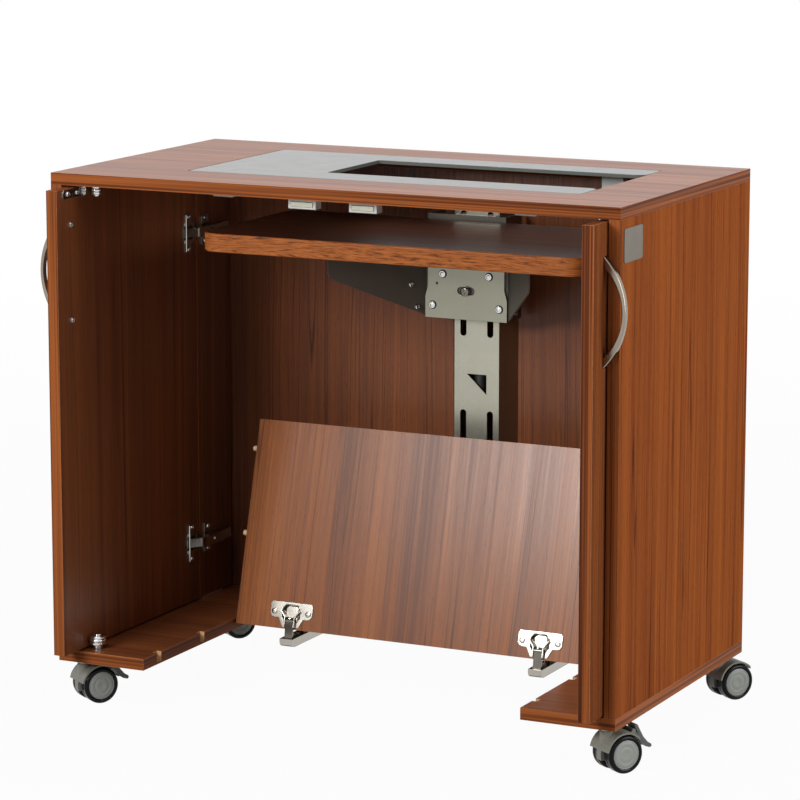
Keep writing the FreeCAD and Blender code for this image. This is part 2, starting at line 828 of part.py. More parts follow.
def floor_hinge_cups():
    pieces = []
    for sign in (-1, 1):
        x = sign * floor_hinge_x
        plate = rounded(box(x - 33, x + 33, 15, 38, 0, 1.6), 5.0)
        neck = prism([vec(x - 19, 16, 0), vec(x + 19, 16, 0), vec(x + 11, 3, 0), vec(x - 11, 3, 0)], Z * 1.6)
        cup = rod(hinge_cup_radius, hinge_cup_depth, vec(x, floor_cup_inset, -hinge_cup_depth), Z)
        mouth = box(x - 10, x + 10, 2, 33, -hinge_cup_depth + 1.2, 4)
        ears = []
        for side in (-1, 1):
            low, high = sorted((x + side * (link_half + 0.4), x + side * (link_half + 0.4 + ear_sheet)))
            ear = box(low, high, link_eye_up - 4, link_eye_up + 16, -3, link_eye_out + 2.8)
            ears.append(ear)
        shell = fused([plate, neck, cup]).cut(mouth)
        bridges = [box(x - 13, x - link_half - 0.4, 13, 28, -4, 0),
                   box(x + link_half + 0.4, x + 13, 13, 28, -4, 0)]
        pin = rod(pin_radius, 2 * (link_half + 0.4 + ear_sheet),
                  vec(x - link_half - 0.4 - ear_sheet, link_eye_up, link_eye_out), X)
        pieces.append(fused([shell, pin] + ears + bridges))
    return stand_up(group(pieces))


def eye_point():
    """Where the link's upper pin stands: link_eye_up along the panel and link_eye_out in front."""
    lean = math.radians(panel_lean)
    y = panel_foot_y + link_eye_up * math.cos(lean) - link_eye_out * math.sin(lean)
    z = panel_foot_z + link_eye_up * math.sin(lean) + link_eye_out * math.cos(lean)
    return y, z


def floor_hinge_links():
    eye_y, eye_z = eye_point()
    links = []
    for sign in (-1, 1):
        x0 = sign * floor_hinge_x - link_half
        start = vec(x0, link_pin_y, link_pin_z)
        end = vec(x0, eye_y, eye_z)
        along = end - start
        along.normalize()
        side = vec(0, -along.z, along.y) * (link_thickness / 2)
        bar = prism([start + side, start - side, end - side, end + side], X * (2 * link_half))
        eyes = [rod(pin_radius + eye_wall, 2 * link_half, spot, X) for spot in (start, end)]
        bar = fused([bar] + eyes)
        holes = [rod(pin_radius + pin_clearance, 2 * link_half + 2, spot - X, X) for spot in (start, end)]
        links.append(cut(bar, holes))
    return group(links)


def floor_hinge_arms():
    """Channel arms under the rear board, open at the top so that the links fold into them."""
    pieces = []
    for sign in (-1, 1):
        x = sign * floor_hinge_x
        arm = box(x - arm_half, x + arm_half, arm_front_y, arm_back_y, arm_bottom, arm_top)
        nose = [edge for edge in arm.Edges if is_along(edge, X) and edge.BoundBox.YMax < arm_front_y + 1
                and edge.BoundBox.ZMax < arm_bottom + 1]
        arm = arm.makeFillet(8.0, nose)
        inside = box(x - arm_half + arm_sheet, x + arm_half - arm_sheet, arm_front_y + 2, arm_back_y + 1,
                     arm_bottom + arm_sheet, arm_top + 1)
        arm = arm.cut(inside)
        pin = rod(pin_radius, 2 * arm_half - 0.4, vec(x - arm_half + 0.2, link_pin_y, link_pin_z), X)
        arm = fused([arm, pin])
        block = box(x - 7, x + 7, rear_board_front + 8, arm_back_y - 4, arm_bottom + arm_sheet, base_bottom)
        wings = box(x - 24, x + 24, rear_board_front + 26, rear_board_front + 38, base_bottom - 1.6,
                    base_bottom)
        plate = fused([block, wings])
        screw = rod(3.4, 1.6, vec(x, rear_board_front + 30, arm_bottom - 1.6), Z)
        pieces += [arm, plate, screw]
    return group(pieces)


# -- castors --------------------------------------------------------------------------------------

def castor_spots():
    return {"front_left": (-castor_x, castor_inset_y), "front_right": (castor_x, castor_inset_y),
            "rear_left": (-castor_x, depth - castor_inset_y),
            "rear_right": (castor_x, depth - castor_inset_y)}


def turned(shape, spot):
    """A castor is built trailing along +X from its stem at the origin, then turned and set down."""
    shape = shape.copy()
    shape.rotate(vec(0, 0, 0), Z, castor_turn)
    shape.translate(vec(spot[0], spot[1], 0))
    return shape


def castor_hood(braked):
    axle = vec(castor_trail, 0, wheel_radius)
    half = half_axle - 1.0
    shell = rod(hood_radius, 2 * half, axle - Y * half, Y)
    shell = shell.cut(rod(hood_radius - hood_wall, 2 * half + 2, axle - Y * (half + 1), Y))
    keep = box(-hood_radius, castor_trail + hood_behind, -half - 1, half + 1, wheel_radius + 6, hood_top)
    shell = shell.common(keep)
    if braked:
        shell = fused([shell] + brake_ears())
    web = rod(hood_radius - 0.5, wheel_gap - 2.0, axle - Y * (wheel_gap / 2 - 1.0), Y)
    web = web.common(box(-hood_radius, castor_trail + hood_behind, -half, half, wheel_radius - 8, hood_top))
    boss = rod(boss_radius, hood_top - wheel_radius - 2, vec(0, 0, wheel_radius + 2), Z)
    boss = boss.cut(rod(hood_radius - hood_wall, 60, axle - Y * 30, Y))
    neck = box(-4, castor_trail, -(wheel_gap / 2 - 1.0), wheel_gap / 2 - 1.0, wheel_radius + 4,
               hood_top - 4)
    body = fused([shell, web, boss, neck])
    bore = rod(stem_radius + stem_clearance, 60, vec(0, 0, wheel_radius - 6), Z)
    half_pin = half_axle - axle_end
    pin = rod(axle_radius, 2 * half_pin, axle - Y * half_pin, Y)
    return fused([body.cut(bore), pin])


def brake_ears():
    """The two ears behind the hood and the pin through them that the brake lever hangs on."""
    pivot = brake_pivot()
    half_lever = lever_width / 2 + lever_clearance + lever_ear / 2
    pieces = []
    for side in (-1, 1):
        low = side * (lever_width / 2 + lever_clearance)
        start = pivot + Y * min(low, low + side * lever_ear)
        ear = rod(lever_eye, lever_ear, start, Y)
        root = lever_eye - ear_step
        foot = prism([start + vec(-root, 0, 0), start + vec(root, 0, 0), start + vec(0, 0, -ear_drop),
                      start + vec(-ear_back, 0, -ear_drop / 2)], Y * lever_ear)
        pieces += [foot, ear]
    return pieces + [rod(lever_pin, 2 * half_lever, pivot - Y * half_lever, Y)]


def castor_wheels():
    """Two tyres and two hub discs; the hubs turn on the axle."""
    axle = vec(castor_trail, 0, wheel_radius)
    pieces = []
    hub_radius = wheel_radius - 5.0
    for side in (-1, 1):
        inner = side * wheel_gap / 2
        start = axle + Y * min(inner, inner + side * wheel_width)
        tyre = rod(wheel_radius, wheel_width, start, Y)
        tyre = tyre.makeFillet(3.0, [edge for edge in tyre.Edges if not isinstance(edge.Curve, Part.Line)])
        tyre = tyre.cut(rod(hub_radius, wheel_width + 2, start - Y, Y))
        hub = rod(hub_radius, wheel_width - 1.0, start + Y * 0.5, Y)
        blind = start + Y * (-1 if side > 0 else axle_end - 1.0)
        hub = hub.cut(rod(axle_radius + axle_clearance, wheel_width - axle_end + 2.0, blind, Y))
        pieces += [tyre, hub]
    return group(pieces)


def castor_stems():
    stems = []
    for spot in castor_spots().values():
        flange = rod(flange_radius, flange_thickness, vec(0, 0, base_bottom - flange_thickness), Z)
        collar = rod(collar_radius, base_bottom - hood_top - 1.0, vec(0, 0, hood_top + 0.5), Z)
        pin_foot = wheel_radius + 2
        pin = rod(stem_radius, base_bottom + stem_into_board - pin_foot, vec(0, 0, pin_foot), Z)
        stems.append(turned(fused([flange, collar, pin]), spot))
    return group(stems)


def brake_pivot():
    angle = math.radians(lever_high)
    return vec(castor_trail + lever_reach * math.cos(angle), 0, wheel_radius + lever_reach * math.sin(angle))


def brake_lever():
    """A curved pedal that hangs over the wheels' trailing side and flares out at its foot."""
    pivot = brake_pivot()
    axle = vec(castor_trail, 0, wheel_radius)
    half = lever_width / 2

    def at(radius, angle):
        turn = math.radians(angle)
        return axle + vec(radius * math.cos(turn), -half, radius * math.sin(turn))

    inner = lever_reach - lever_sheet / 2
    outer = lever_reach + lever_sheet / 2
    middle = (lever_high + lever_low) / 2
    outline = Part.Wire([Part.Arc(at(outer, lever_high), at(outer, middle), at(outer, lever_low)).toShape(),
                         Part.makeLine(at(outer, lever_low), at(inner, lever_low)),
                         Part.Arc(at(inner, lever_low), at(inner, middle), at(inner, lever_high)).toShape(),
                         Part.makeLine(at(inner, lever_high), at(outer, lever_high))])
    plate = Part.Face(outline).extrude(Y * lever_width)
    foot = prism([at(inner, lever_low + 6), at(outer, lever_low + 6), at(outer + lever_flare, lever_low - 4),
                  at(inner + lever_flare, lever_low - 8)], Y * lever_width)
    eye = rod(lever_eye, lever_width, pivot - Y * half, Y)
    bore = rod(lever_pin + axle_clearance, lever_width + 2, pivot - Y * (half + 1), Y)
    return fused([plate, foot, eye]).cut(bore)


def main():
    os.makedirs("parts", exist_ok=True)
    export("worktop", worktop())
    export("left_side_panel", side_panel(-1))
    export("right_side_panel", side_panel(1))
    export("back_panel", back_panel())
    export("left_base_strip", base_strip(-1))
    export("right_base_strip", base_strip(1))
    export("rear_floor_board", rear_floor_board())
    export("carcass_dowels", carcass_dowels())
    export("insert_plate", insert_plate())
    export("insert_clips", insert_clips())
    export("catch_bodies", catch_bodies())
    export("catch_magnets", catch_magnets())
    export("badge_plate", badge_plate())
    door_parts = {"door": door_panel(), "door_follower": follower(), "follower_glides": follower_glides(),
                  "door_handle": door_handle(), "door_strike": strike_and_screws(),
                  "door_hinges": door_hinges(),
                  "bottom_roller": guide_roller(bottom_roller_radius, bottom_roller_y, bottom_roller_z),
                  "top_roller": guide_roller(top_roller_radius, top_roller_y, top_roller_z)}
    for name, shape in door_parts.items():
        export("left_" + name, shape)
        export("right_" + name, mirrored(shape))
    export("roller_posts", roller_posts())
    export("lift_column", lift_column())
    export("column_screws", column_screws())
    export("strut_tube", strut_tube())
    export("strut_rod", strut_rod())
    export("lift_shelf", lift_shelf())
    export("lift_front_plate", lift_front_plate())
    export("lift_carriage", lift_carriage())
    export("lift_pads", lift_pads())
    export("lift_wings", lift_wings())
    export("lift_bolts", lift_bolts())
    export("shelf_screws", shelf_screws())
    export("floor_panel", floor_panel())
    export("floor_panel_dowels", floor_panel_dowels())
    export("floor_hinge_cups", floor_hinge_cups())
    export("floor_hinge_links", floor_hinge_links())
    export("floor_hinge_arms", floor_hinge_arms())
    export("castor_stems", castor_stems())
    wheels = castor_wheels()
    for name, spot in castor_spots().items():
        export(name + "_castor_hood", turned(castor_hood(name.startswith("front")), spot))
        export(name + "_castor_wheels", turned(wheels, spot))
    for name in ("front_left", "front_right"):
        export(name + "_brake_lever", turned(brake_lever(), castor_spots()[name]))
    print("origin", round(origin_x, 4), round(origin_y, 4))


main()
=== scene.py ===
import bpy
import json
import math
from mathutils import Matrix, Vector


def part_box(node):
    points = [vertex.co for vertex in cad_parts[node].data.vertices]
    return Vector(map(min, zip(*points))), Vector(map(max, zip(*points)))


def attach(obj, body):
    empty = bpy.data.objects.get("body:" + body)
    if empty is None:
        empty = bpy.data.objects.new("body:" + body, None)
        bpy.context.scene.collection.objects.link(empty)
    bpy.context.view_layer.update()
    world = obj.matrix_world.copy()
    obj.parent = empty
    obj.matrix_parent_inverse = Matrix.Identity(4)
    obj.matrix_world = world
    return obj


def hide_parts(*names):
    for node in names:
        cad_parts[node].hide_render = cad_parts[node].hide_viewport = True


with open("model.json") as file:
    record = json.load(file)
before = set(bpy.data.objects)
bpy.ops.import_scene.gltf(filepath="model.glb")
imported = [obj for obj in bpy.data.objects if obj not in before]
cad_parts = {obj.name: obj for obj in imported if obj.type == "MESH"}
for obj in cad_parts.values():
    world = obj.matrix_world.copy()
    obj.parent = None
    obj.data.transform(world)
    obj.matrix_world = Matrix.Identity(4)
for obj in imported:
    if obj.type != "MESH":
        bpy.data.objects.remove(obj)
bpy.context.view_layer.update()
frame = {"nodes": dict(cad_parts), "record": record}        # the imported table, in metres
print("stage: frame loaded,", len(frame["nodes"]), "nodes")

bodies = frame["record"]["behaviour"]["bodies"]
bodyOf = {node: body for body, nodes in bodies.items() for node in nodes}
axisNames = "xyz"

topLow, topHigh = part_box("worktop")
cabinetMiddle = (topLow.x + topHigh.x) / 2
cabinetFront = topLow.y


def at(x, y, z):    # millimetres from the cabinet's middle, front edge and floor
    return Vector((cabinetMiddle + x / 1000, cabinetFront + y / 1000, z / 1000))


# camera, light and floor

cameraSettings = {
    "place": (2.1031, -4.3025, 1.307),
    "heading": 26.06,         # degrees, turned to the left from the back wall
    "tilt": 10.49,            # degrees, looking down
    "lens": 162.6,
}


def makeCamera(settings):
    turn = (math.radians(90 - settings["tilt"]), 0, math.radians(settings["heading"]))
    bpy.ops.object.camera_add(location=settings["place"], rotation=turn)
    camera = bpy.context.object
    camera.name = "tableCamera"
    camera.data.lens = settings["lens"]
    camera.data.clip_end = 50
    bpy.context.scene.camera = camera


lightSettings = {
    "rightSoftbox": {"place": (3.2, 0.1, 1.3), "aim": (0.3, 0, 0.4), "size": 1.8, "power": 70},
    "frontSoftbox": {"place": (-0.1, -2.2, 2.9), "aim": (0, 0, 0.4), "size": 1.4, "power": 24},
    "keySoftbox": {"place": (-1.2, -3.6, 1.9), "aim": (0, 0, 0.3), "size": 1.2, "power": 114},
    "topSoftbox": {"place": (0.2, 0.5, 3.0), "aim": (0, 0, 0.7), "size": 2.4, "power": 18},
}


def makeLight(name, settings):
    place = Vector(settings["place"])
    turn = (Vector(settings["aim"]) - place).to_track_quat("-Z", "Y")
    bpy.ops.object.light_add(type="AREA", location=place, rotation=turn.to_euler())
    light = bpy.context.object
    light.name = name
    light.data.shape = "SQUARE"
    light.data.size = settings["size"]
    light.data.energy = settings["power"]


class Flow:    # one shader socket, so that materials read as plain sums
    def __init__(self, paint, socket):
        self.paint = paint
        self.socket = socket

    def maths(self, operation, first, second):
        return self.paint.add("ShaderNodeMath", {"operation": operation}, {0: first, 1: second})

    def __add__(self, other):
        return self.maths("ADD", self, other)

    def __sub__(self, other):
        return self.maths("SUBTRACT", self, other)

    def __mul__(self, other):
        return self.maths("MULTIPLY", self, other)


class Paint:    # a new material and its nodes, or the nodes of a tree that is there already
    def __init__(self, name, tree=None):
        self.tree = tree
        if tree is None:
            self.material = bpy.data.materials.new(name)
            self.material.use_nodes = True
            self.tree = self.material.node_tree
            self.tree.nodes.clear()
            self.end = self.tree.nodes.new("ShaderNodeOutputMaterial")

    def add(self, kind, settings, inputs, output=0):
        node = self.tree.nodes.new(kind)
        for key, value in settings.items():
            if key == "stops":
                ramp = node.color_ramp
                while len(ramp.elements) < len(value):
                    ramp.elements.new(0.5)
                for element, (place, colour) in zip(ramp.elements, value):
                    element.position = place
                    element.color = (*colour, 1)
            else:
                setattr(node, key, value)
        for key, value in inputs.items():
            if isinstance(value, Flow):
                self.tree.links.new(value.socket, node.inputs[key])
            else:
                node.inputs[key].default_value = value
        return Flow(self, node.outputs[output])

    def place(self, turn=0.0):    # turned about X by so many radians
        place = self.add("ShaderNodeTexCoord", {}, {}, "Object")
        return self.stretched(place, (1, 1, 1), (0, 0, 0), (turn, 0, 0)) if turn else place

    def stretched(self, source, scale, shift=(0, 0, 0), turn=(0, 0, 0)):
        return self.add("ShaderNodeMapping", {}, {"Vector": source, "Scale": scale,
                                                  "Location": shift, "Rotation": turn})

    def noise(self, source, scale=1.0, detail=2.0, roughness=0.5, distortion=0.0):
        return self.add("ShaderNodeTexNoise", {},
                        {"Vector": source, "Scale": scale, "Detail": detail,
                         "Roughness": roughness, "Distortion": distortion})

    def ramp(self, value, stops):
        return self.add("ShaderNodeValToRGB", {"stops": stops}, {"Fac": value})

    def between(self, value, low, high, outLow, outHigh):
        return self.add("ShaderNodeMapRange", {},
                        {"Value": value, "From Min": low, "From Max": high,
                         "To Min": outLow, "To Max": outHigh})

    def blend(self, share, first, second):
        return self.add("ShaderNodeMix", {"data_type": "RGBA"}, {0: share, 6: first, 7: second}, 2)

    def vectorMaths(self, operation, inputs, output=0):
        return self.add("ShaderNodeVectorMath", {"operation": operation}, inputs, output)

    def tinted(self, colour, shade):
        return self.vectorMaths("SCALE", {0: colour, "Scale": shade})

    def bump(self, height, strength, distance):
        return self.add("ShaderNodeBump", {},
                        {"Height": height, "Strength": strength, "Distance": distance})

    def surface(self, **sockets):
        inputs = {key.replace("_", " "): value for key, value in sockets.items()}
        shader = self.add("ShaderNodeBsdfPrincipled", {}, inputs)
        self.tree.links.new(shader.socket, self.end.inputs["Surface"])
        return self.material


def rgb(red, green, blue):    # a colour picked on screen, 0 to 255, as the shader wants it
    return tuple((value / 255 / 12.92 if value < 11 else ((value / 255 + 0.055) / 1.055) ** 2.4)
                 for value in (red, green, blue))


def opaque(colour):
    return (*colour, 1)


# each look is a laminate's printed tones and the colour of its thin dark lines; the shaded look also
# holds painted shade, the panel look painted light

laminateLook = {
    "deep": rgb(110, 56, 32),
    "middle": rgb(142, 77, 39),
    "light": rgb(168, 93, 42),
    "line": rgb(72, 34, 26),
}
paintedShadeLook = {    # painted shade: the laminate's tones printed darker, for boards that stand deep inside the cabinet
    "deep": rgb(84, 44, 27),
    "middle": rgb(114, 63, 35),
    "light": rgb(138, 78, 40),
    "line": rgb(52, 26, 20),
}
shelfTopLook = {
    "deep": rgb(50, 26, 18),
    "middle": rgb(72, 40, 27),
    "light": rgb(92, 53, 36),
    "line": rgb(36, 19, 15),
}
paintedLightPanelLook = {    # painted light: the floor panel's own warmer copy of the laminate, tuned to the light on the leaning panel
    "deep": rgb(103, 57, 31),
    "middle": rgb(139, 81, 43),
    "light": rgb(167, 102, 55),
    "line": rgb(70, 39, 31),
}


def axisScale(grain, across, along, over, through=1.0):    # one scale per axis
    scale = [through] * 3
    scale[axisNames.index(grain)] = along
    scale[axisNames.index(across)] = over
    return scale


laminateSettings = {
    "wander": (1.6, 5),       # how often the grain drifts, per metre along and across
    "sway": 0.02,             # metres that it drifts
    "layers": {    # per metre along and across the grain, detail, roughness, share of the tone
        "broad": (0.5, 16, 2.0, 0.6, 0.30),
        "streaks": (0.9, 95, 3.0, 0.65, 0.36),
        "fine": (5, 520, 2.0, 0.7, 0.20),
        "fibre": (24, 1100, 2.0, 0.6, 0.14),
    },
    "pores": (70, 1500, 1.0, 0.5),
    "stops": {"deep": 0.36, "middle": 0.49, "light": 0.64},
    "lines": [(30, 0.47, 0.008, 0.85), (30, 0.56, 0.006, 0.65), (78, 0.52, 0.014, 0.50)],
    "lineAlong": 0.35,
    "poreLevels": (0.62, 0.72),
    "poreStrength": 0.45,
    "bump": (0.12, 0.0004),
}


def laminateMaterial(name, grain, across, seed, turn, look, gloss, shine):
    paint = Paint(name)
    settings = laminateSettings
    place = paint.place(turn)
    shift = (seed * 1.37, seed * 2.11, seed * 0.83)

    def layer(source, along, over, detail=1.0, roughness=0.5):
        scale = axisScale(grain, across, along, over, 0)
        return paint.noise(paint.stretched(source, scale, shift), 1.0, detail, roughness)

    wander = layer(place, *settings["wander"])
    drift = axisScale(grain, across, 0, settings["sway"], 0)
    bent = paint.vectorMaths("ADD", {0: place, 1: paint.vectorMaths("MULTIPLY", {0: wander, 1: drift})})
    layers = {key: layer(bent, *values[:4]) for key, values in settings["layers"].items()}
    weighed = [layers[key] * values[4] for key, values in settings["layers"].items()]
    tone = weighed[0] + weighed[1] + weighed[2] + weighed[3]
    colour = paint.ramp(tone, [(stop, look[key]) for key, stop in settings["stops"].items()])
    for over, level, wide, strength in settings["lines"]:
        field = layer(bent, settings["lineAlong"], over, 1.5)
        near = paint.add("ShaderNodeMath", {"operation": "ABSOLUTE"}, {0: field - level})
        share = paint.between(near, 0.0, wide, strength, 0.0)
        colour = paint.blend(share, colour, opaque(look["line"]))
    pores = layer(bent, *settings["pores"])
    dashes = paint.between(pores, *settings["poreLevels"], 0.0, settings["poreStrength"])
    colour = paint.blend(dashes, colour, opaque(look["line"]))
    rough = paint.between(layers["streaks"], 0.3, 0.7, gloss + 0.05, gloss - 0.03)
    relief = paint.bump(layers["fine"] * 0.6 + pores * -0.5, *settings["bump"])
    return paint.surface(Base_Color=colour, Roughness=rough, Specular_IOR_Level=shine, Normal=relief)


edgeSettings = {
    "streaks": [(0.30, rgb(56, 27, 18)), (0.42, rgb(96, 50, 28)), (0.50, rgb(128, 70, 36)),
                (0.58, rgb(154, 86, 43)), (0.70, rgb(90, 47, 29))],
    "long": 0.8,              # streaks per metre along the band
    "thin": 165,              # and through it
    "fineLong": 4.8,
    "fineThin": 900,
    "gloss": 0.34,
    "shine": 0.03,
}


def edgeMaterial(name, thin, seed, turn):
    paint = Paint(name)
    settings = edgeSettings
    place = paint.place(turn)
    shift = (seed * 0.71, seed * 1.93, seed * 1.17)
    scale = [settings["long"]] * 3
    scale[axisNames.index(thin)] = settings["thin"]
    fineScale = [settings["fineLong"]] * 3
    fineScale[axisNames.index(thin)] = settings["fineThin"]
    streaks = paint.noise(paint.stretched(place, scale, shift), 1.0, 2.0, 0.6)
    fine = paint.noise(paint.stretched(place, fineScale, shift), 1.0)
    colour = paint.ramp(streaks * 0.86 + fine * 0.14, settings["streaks"])
    return paint.surface(Base_Color=colour, Roughness=settings["gloss"],
                         Specular_IOR_Level=settings["shine"], Normal=paint.bump(fine, 0.08, 0.0003))


def plainWood(name, dark, light, scale, gloss):
    paint = Paint(name)
    grain = paint.noise(paint.stretched(paint.place(), scale), 1.0, 4.0, 0.65, 0.6)
    return paint.surface(Base_Color=paint.ramp(grain, [(0.35, dark), (0.65, light)]), Roughness=gloss,
                         Normal=paint.bump(grain, 0.15, 0.0004))


def metalMaterial(name, colour, rough, brush, metallic=1.0, mottle=0.03):
    paint = Paint(name)
    place = paint.place()
    fine = paint.noise(paint.stretched(place, brush), 1.0, 2.0, 0.5)
    cloud = paint.noise(place, 30.0, 2.0, 0.5)
    shade = paint.between(fine * 0.4 + cloud * 0.6, 0.3, 0.7, 1 - mottle, 1 + mottle)
    tint = paint.tinted(colour, shade)
    roughness = paint.between(fine, 0.3, 0.7, rough - 0.02, rough + 0.03)
    return paint.surface(Base_Color=tint, Metallic=metallic, Roughness=roughness,
                         Normal=paint.bump(fine, 0.02, 0.0001))


def galvanisedMaterial(name, colour, rough):
    paint = Paint(name)
    place = paint.place()
    flakes = paint.add("ShaderNodeTexVoronoi", {"feature": "F1"},
                       {"Vector": place, "Scale": 420.0}, "Color")
    patch = paint.add("ShaderNodeSeparateColor", {}, {"Color": flakes}, 0)
    cloud = paint.noise(place, 22.0, 4.0, 0.65)
    scratch = paint.noise(paint.stretched(place, (700, 700, 25)), 1.0, 2.0, 0.7)
    shade = paint.between(patch * 0.15 + cloud * 0.6 + scratch * 0.25, 0.25, 0.75, 0.94, 1.05)
    tint = paint.tinted(colour, shade)
    roughness = paint.between(patch * 0.3 + scratch * 0.7, 0.2, 0.8, rough - 0.03, rough + 0.05)
    return paint.surface(Base_Color=tint, Metallic=0.95, Roughness=roughness,
                         Normal=paint.bump(cloud + scratch * 0.3, 0.03, 0.0003))


def plasticMaterial(name, colour, rough, grainSize=900.0, grainDepth=0.06, shine=0.4):
    paint = Paint(name)
    place = paint.place()
    grain = paint.noise(place, grainSize, 2.0, 0.5)
    cloud = paint.noise(place, 30.0, 2.0, 0.5)
    shade = paint.between(cloud, 0.3, 0.7, 0.95, 1.04)
    tint = paint.tinted(colour, shade)
    roughness = paint.between(grain * 0.5 + cloud * 0.5, 0.3, 0.7, rough - 0.04, rough + 0.05)
    return paint.surface(Base_Color=tint, Roughness=roughness, Specular_IOR_Level=shine,
                         Normal=paint.bump(grain, grainDepth, 0.0003))


def pick(piece):
    bpy.ops.object.select_all(action="DESELECT")
    piece.select_set(True)
    bpy.context.view_layer.objects.active = piece


def objectMode():
    bpy.ops.object.mode_set(mode="OBJECT")


def chooseFaces(piece, test):    # the piece is left in edit mode with those faces picked
    objectMode()
    for vertex in piece.data.vertices:
        vertex.select = False
    for edge in piece.data.edges:
        edge.select = False
    for face in piece.data.polygons:
        face.select = bool(test(face))
    bpy.ops.object.mode_set(mode="EDIT")
    bpy.ops.mesh.select_mode(type="FACE")


def addModifier(piece, kind, **settings):
    pick(piece)
    modifier = piece.modifiers.new(kind.lower(), kind)
    for key, value in settings.items():
        setattr(modifier, key, value)
    bpy.ops.object.modifier_apply(modifier=modifier.name)


def bevelled(piece, width, segments, angle=38, material=-1):
    addModifier(piece, "BEVEL", width=width, segments=segments, limit_method="ANGLE",
                angle_limit=math.radians(angle), material=material)
    smoothed(piece)
    addModifier(piece, "WEIGHTED_NORMAL", keep_sharp=True, weight=90)


def smoothed(piece, angle=32):
    pick(piece)
    bpy.ops.object.shade_smooth_by_angle(angle=math.radians(angle))


def settled(piece):    # place and turn go into the mesh
    pick(piece)
    bpy.ops.object.transform_apply(location=True, rotation=True, scale=True)


def another(master, name):
    piece = bpy.data.objects.new(name, master.data.copy())
    bpy.context.scene.collection.objects.link(piece)
    return piece


mergeReach = 0.000002    # metres
flatAngle = math.radians(0.6)


def copyOfNode(node):    # the CAD node's loose triangles are merged in a copy
    piece = another(frame["nodes"][node], node + "_made")
    piece.data.materials.clear()
    pick(piece)
    bpy.ops.object.mode_set(mode="EDIT")
    bpy.ops.mesh.select_mode(type="FACE")
    bpy.ops.mesh.select_all(action="SELECT")
    bpy.ops.mesh.remove_doubles(threshold=mergeReach)
    bpy.ops.mesh.dissolve_limited(angle_limit=flatAngle)
    objectMode()
    return piece


def standIn(piece, node):    # the piece stands for the CAD node and moves with its body
    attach(piece, bodyOf[node])
    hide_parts(node)


def detail(piece, node):    # an extra piece that moves with the node's body
    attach(piece, bodyOf[node])


def lathed(name, profile, closed, steps):    # (radius, height) pairs, turned about Z
    firstRadius, firstHeight = profile[0]
    bpy.ops.object.select_all(action="DESELECT")
    bpy.ops.mesh.primitive_circle_add(vertices=steps, radius=firstRadius, location=(0, 0, firstHeight),
                                      fill_type="NOTHING" if closed else "NGON")
    piece = bpy.context.object
    piece.name = name
    settled(piece)
    bpy.ops.object.mode_set(mode="EDIT")
    bpy.ops.mesh.select_mode(type="VERT")
    bpy.ops.mesh.select_all(action="SELECT")
    for (radius, height), (nextRadius, nextHeight) in zip(profile, profile[1:]):
        step = {"value": (0, 0, nextHeight - height)}
        bpy.ops.mesh.extrude_region_move(TRANSFORM_OT_translate=step)
        share = nextRadius / radius
        bpy.ops.transform.resize(value=(share, share, 1), center_override=(0, 0, nextHeight))
    bpy.ops.mesh.select_all(action="SELECT")
    bpy.ops.mesh.remove_doubles(threshold=mergeReach)
    bpy.ops.mesh.normals_make_consistent(inside=False)
    objectMode()
    return piece


def prismOf(name, outline, low, high):    # (x, y) corners in mm, raised from low to high
    bpy.ops.object.select_all(action="DESELECT")
    bpy.ops.mesh.primitive_circle_add(vertices=len(outline), radius=1, location=(0, 0, 0),
                                      fill_type="NGON")
    piece = bpy.context.object
    piece.name = name
    for vertex, (x, y) in zip(piece.data.vertices, outline):
        vertex.co = (x / 1000, y / 1000, low / 1000)
    bpy.ops.object.mode_set(mode="EDIT")
    bpy.ops.mesh.select_all(action="SELECT")
    step = {"value": (0, 0, (high - low) / 1000)}
    bpy.ops.mesh.extrude_region_move(TRANSFORM_OT_translate=step)
    bpy.ops.mesh.select_all(action="SELECT")
    bpy.ops.mesh.normals_make_consistent(inside=False)
    objectMode()
    return piece


def carved(piece, cutter):    # the cutter is used up
    addModifier(piece, "BOOLEAN", operation="DIFFERENCE", object=cutter, solver="EXACT")
    bpy.data.objects.remove(cutter)
    return piece


def laid(piece, place, direction, spin=0.0):    # from upright at the origin to its place
    turn = Vector(direction).to_track_quat("Z", "Y").to_matrix().to_4x4()
    piece.data.transform(Matrix.Translation(place) @ turn @ Matrix.Rotation(spin, 4, "Z"))
    return piece


def together(pieces, name):
    bpy.ops.object.select_all(action="DESELECT")
    for piece in pieces:
        piece.select_set(True)
    bpy.context.view_layer.objects.active = pieces[0]
    bpy.ops.object.join()
    pieces[0].name = name
    return pieces[0]


def dressed(piece, *materials):
    piece.data.materials.clear()
    for material in materials:
        piece.data.materials.append(material)
    return piece


makeCamera(cameraSettings)
for lightName, lightValues in lightSettings.items():
    makeLight(lightName, lightValues)
print("stage: camera and lights placed")


# white floor and surroundings

roomSettings = {
    "ambient": 0.10,         # soft light from all round
    "floorTone": 0.50,
    "floorGlow": 0.96,       # share of plain white that the camera sees near the table
    "glowReach": (1.2, 4.0),
    "floorSize": 70.0,
}


def seenDirectly(paint):    # 1 for the camera, mirrors and glass, 0 for light that bounces
    rays = paint.tree.nodes.new("ShaderNodeLightPath")
    seen = [Flow(paint, rays.outputs[name]) for name in
            ("Is Camera Ray", "Is Glossy Ray", "Is Transmission Ray")]
    total = seen[0] + seen[1] + seen[2]
    return paint.add("ShaderNodeMath", {"operation": "MINIMUM"}, {0: total, 1: 1.0})


